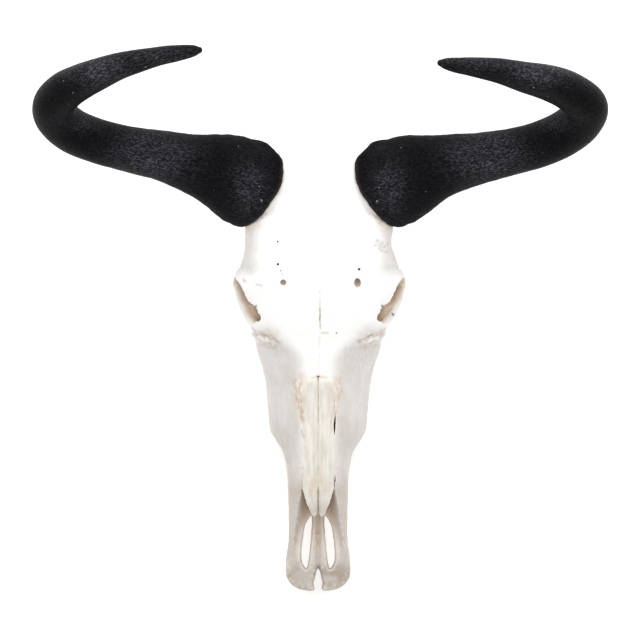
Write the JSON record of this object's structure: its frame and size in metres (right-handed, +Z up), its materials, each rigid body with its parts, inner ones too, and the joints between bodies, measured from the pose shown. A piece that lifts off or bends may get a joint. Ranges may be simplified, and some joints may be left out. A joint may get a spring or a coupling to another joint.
{
  "type": "wildebeest skull",
  "caption": "Bleached wildebeest skull without its lower jaw: long narrow face, open seams at the nose, ringed eye sockets, and curved black horn sheaths that hook up and inward.",
  "frame": {"origin": "Centre of the bounding box across and along the skull, at the height of the surface that it rests on with its face up.", "axes": "+X across the skull, towards the horn on the right of the picture; +Y from the muzzle tip back to the crown; +Z up, out of the forehead. Left and right in node names are as the picture shows them."},
  "size_m": [0.6043, 0.5483, 0.2611],
  "materials": {
    "bone": "matte",
    "nose_bone": "matte",
    "teeth": "satin",
    "horn": "satin"
  },
  "bodies": {
    "root": {"cranium": "bone", "nasal_bone_left": "nose_bone", "nasal_bone_right": "nose_bone", "premaxilla_left": "bone", "premaxilla_right": "bone", "horn_left": "horn", "horn_right": "horn", "premolar_2_left": "teeth", "premolar_3_left": "teeth", "premolar_4_left": "teeth", "molar_1_left": "teeth", "molar_2_left": "teeth", "molar_3_left": "teeth", "premolar_2_right": "teeth", "premolar_3_right": "teeth", "premolar_4_right": "teeth", "molar_1_right": "teeth", "molar_2_right": "teeth", "molar_3_right": "teeth"}
  },
  "joints": []
}
